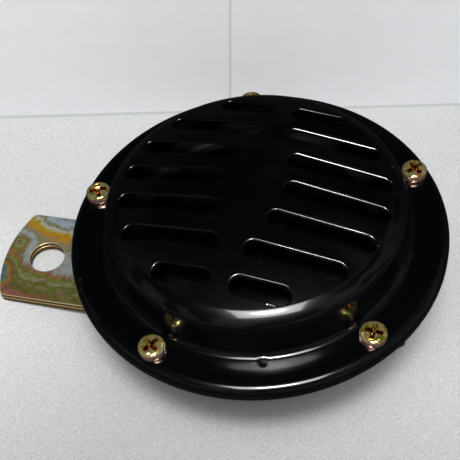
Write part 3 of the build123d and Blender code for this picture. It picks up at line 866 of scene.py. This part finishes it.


# front: painted shade, the board darkening towards the front; left and near: a painted pool of
# light at the near left
boardShading = {
    "front": (-10.0, -75.0),                        # along Y, from the back colour to the front's
    "left": (35.0, -25.0), "near": (20.0, -25.0),   # along X and Y, up to the paler near left
    "rough": 0.8, "specular": 0.2,
}


# a matt board with painted shade darker towards the front, a painted pool of light at the near
# left, and dimmer where something glossy reflects it
def makeBackdrop(name, back, front, mirrored, grain, contrast, paintedLightLeft):
    material, tree, shader = newMaterial(name)
    place = addNode(tree, "ShaderNodeTexCoord").outputs["Object"]
    parts = addNode(tree, "ShaderNodeSeparateXYZ", Vector=place)
    depth, left, paintedLightNear = (
        addNode(
            tree, "ShaderNodeMapRange", Value=parts.outputs[axis],
            From_Min=start * mm, From_Max=stop * mm, To_Max=most,
        )
        for axis, (start, stop), most in (
            ("Y", boardShading["front"], 1.0), ("X", boardShading["left"], paintedLightLeft),
            ("Y", boardShading["near"], 1.0),
        )
    )
    # painted shade: the tone goes darker towards the front
    tone = addNode(
        tree, "ShaderNodeMix", {"data_type": "RGBA"}, Factor=depth.outputs["Result"],
        i6=hexColor(back), i7=hexColor(front),
    )
    # painted light: paler towards the near left
    paintedLightGain = addNode(
        tree, "ShaderNodeMath", {"operation": "MULTIPLY_ADD"},
        i0=left.outputs["Result"], i1=paintedLightNear.outputs["Result"], i2=1.0,
    )
    speck = addNode(
        tree, "ShaderNodeTexNoise", Vector=place, Scale=scaleFor(grain), Detail=3.0,
    )
    dots = addNode(
        tree, "ShaderNodeMapRange", Value=speck.outputs["Fac"], From_Min=0.35, From_Max=0.65,
        To_Min=1 - contrast, To_Max=1 + contrast,
    )
    gain = addNode(
        tree, "ShaderNodeMath", {"operation": "MULTIPLY"},
        i0=dots.outputs["Result"], i1=paintedLightGain.outputs["Value"],
    )
    mix = addNode(
        tree, "ShaderNodeVectorMath", {"operation": "SCALE"},
        i0=tone.outputs[2], Scale=gain.outputs["Value"],
    )
    rays = addNode(tree, "ShaderNodeLightPath")
    seen = addNode(
        tree, "ShaderNodeMix", {"data_type": "RGBA"}, Factor=rays.outputs["Is Glossy Ray"],
        i6=mix.outputs["Vector"], i7=hexColor(mirrored),
    )
    setInputs(
        tree, shader, Base_Color=seen.outputs[2], Roughness=boardShading["rough"],
        Specular_IOR_Level=boardShading["specular"],
    )
    # clear from behind, so the boards never hide the horn
    side = addNode(tree, "ShaderNodeNewGeometry")
    clear = addNode(tree, "ShaderNodeBsdfTransparent")
    surface = addNode(
        tree, "ShaderNodeMixShader", Fac=side.outputs["Backfacing"],
        i1=shader.outputs["BSDF"], i2=clear.outputs["BSDF"],
    )
    setInputs(tree, tree.nodes["Material Output"], Surface=surface.outputs["Shader"])
    return material


tableTop, wallPaint, groutLine = (makeBackdrop(name, *look) for name, look in boards.items())
footA, footB = (Vector(p) for p in room["wallFoot"])
along = (footB - footA).normalized()
across = Vector((-along.y, along.x))


# a point on the wall, by its distance along the foot, its height and how far before the wall
def onWall(run, height, before):
    spot = footA + along * run - across * before
    return (spot.x, spot.y, floorHeight(spot.x) + height)


def addWallPatch(name, lower, upper, before, material):
    (lowLeft, lowRight, foot), (topLeft, topRight, top) = lower, upper
    addPlane(name, [
        onWall(lowLeft, foot, before), onWall(lowRight, foot, before),
        onWall(topRight, top, before), onWall(topLeft, top, before),
    ], material)


far, proud = room["reach"], room["proud"]
addPlane(
    "table",
    [onWall(-far, 0, 2 * far), onWall(far, 0, 2 * far), onWall(far, 0, 0), onWall(-far, 0, 0)],
    tableTop,
)
addWallPatch("wall", (-far, far, 0), (-far, far, room["wallHeight"]), 0, wallPaint)
addWallPatch("footGrout", (-far, far, 0), (-far, far, room["groutHeight"]), proud, groutLine)
addWallPatch("wallSeam", *room["seam"], proud, groutLine)

# the focal length is in pixels of the frame's width
cameraSizes = {
    "eye": (117.0, -158.3, 238.4), "aim": (61.5, 0.0, 29.0), "roll": -7.98,
    "focal": 959.14, "frame": 460, "sensor": 36.0, "nearest": 10.0,
}


def addCamera():
    eye, aim = Vector(cameraSizes["eye"]), Vector(cameraSizes["aim"])
    ahead = (aim - eye).normalized()
    right = ahead.cross(Vector((0, 0, 1))).normalized()
    up = right.cross(ahead)
    turn = math.radians(cameraSizes["roll"])
    side = right * math.cos(turn) + up * math.sin(turn)
    top = up * math.cos(turn) - right * math.sin(turn)
    data = bpy.data.cameras.new("camera")
    data.sensor_width = cameraSizes["sensor"]
    data.lens = cameraSizes["focal"] * cameraSizes["sensor"] / cameraSizes["frame"]
    data.clip_start = cameraSizes["nearest"] * mm
    camera = bpy.data.objects.new("camera", data)
    pose = Matrix((side, top, -ahead)).transposed().to_4x4()
    pose.translation = eye * mm
    camera.matrix_world = pose
    scene.collection.objects.link(camera)
    scene.camera = camera
    return ahead


ahead = addCamera()

# radiance is what a mirror would show of the lamp; white is 1
lampSizes = {
    "softbox": {
        "azimuth": -70.7, "elevation": 66.0, "away": 620.0, "size": (330.0, 250.0), "radiance": 9.0,
    },
    "bulbs": {
        "azimuth": -70.7, "elevation": 66.0, "away": 600.0, "size": (118.0, 66.0), "radiance": 95.0,
    },
}


def addLamp(name, azimuth, elevation, away, size, radiance):
    data = bpy.data.lights.new(name, "AREA")
    data.shape = "RECTANGLE"
    data.size, data.size_y = size[0] * mm, size[1] * mm
    data.energy = radiance * math.pi * data.size * data.size_y
    lamp = bpy.data.objects.new(name, data)
    turn, rise = math.radians(azimuth), math.radians(elevation)
    flat = Vector((math.cos(turn), math.sin(turn), 0)) * math.cos(rise)
    heading = flat + Vector((0, 0, math.sin(rise)))
    side = Vector((0, 0, 1)).cross(heading).normalized()
    pose = Matrix((side, heading.cross(side), heading)).transposed().to_4x4()
    pose.translation = (Vector((*horn["axis"], horn["rimFoot"])) + heading * away) * mm
    lamp.matrix_world = pose
    scene.collection.objects.link(lamp)


for name, values in lampSizes.items():
    addLamp(name, **values)


surroundings = {
    "lit": "#a0a1a4", "strength": 0.75,     # what lights the matt surfaces
    # what the gloss shows, from level with the horn to straight above
    "heights": [(0.0, "#5c5d60"), (0.30, "#8f9093"), (0.62, "#434447"), (0.86, "#020203")],
    "patch": 3.4, "patchLift": 0.38,        # scale of the patches, and how far they shift that
    "beyond": 0.10,                         # how much of it is left on the side beyond the horn
}


# dark above for the gloss, an even pale grey for what is lit by it
def setWorld():
    world = bpy.data.worlds.new("studio")
    scene.world = world
    world.use_nodes = True
    tree = world.node_tree
    rays = addNode(tree, "ShaderNodeLightPath")
    way = addNode(tree, "ShaderNodeTexCoord").outputs["Generated"]
    # a dim room of soft patches: shelves, a doorway, a lit ceiling further back
    parts = addNode(tree, "ShaderNodeSeparateXYZ", Vector=way)
    soft = addNode(
        tree, "ShaderNodeTexNoise", Vector=way, Scale=surroundings["patch"], Detail=1.0,
    )
    patch = addNode(
        tree, "ShaderNodeMapRange", Value=soft.outputs["Fac"], From_Min=0.42, From_Max=0.56,
        To_Min=-surroundings["patchLift"], To_Max=surroundings["patchLift"],
    )
    level = addNode(
        tree, "ShaderNodeMath", {"operation": "ADD"},
        i0=parts.outputs["Z"], i1=patch.outputs["Result"],
    )
    height = addNode(tree, "ShaderNodeValToRGB", Fac=level.outputs["Value"])
    setRamp(height, surroundings["heights"])
    # the side beyond the horn is the darkest, so the dome's far half stays deep black
    facing = addNode(
        tree, "ShaderNodeVectorMath", {"operation": "DOT_PRODUCT"},
        i0=way, i1=(ahead.x, ahead.y, 0.0),
    )
    gain = addNode(
        tree, "ShaderNodeMapRange", Value=facing.outputs["Value"], From_Min=-0.1, From_Max=0.35,
        To_Min=1.0, To_Max=surroundings["beyond"],
    )
    shade = addNode(
        tree, "ShaderNodeVectorMath", {"operation": "SCALE"},
        i0=height.outputs["Color"], Scale=gain.outputs["Result"],
    )
    mix = addNode(
        tree, "ShaderNodeMix", {"data_type": "RGBA"}, Factor=rays.outputs["Is Glossy Ray"],
        i6=hexColor(surroundings["lit"]), i7=shade.outputs["Vector"],
    )
    setInputs(
        tree, tree.nodes["Background"], Color=mix.outputs[2], Strength=surroundings["strength"],
    )


setWorld()
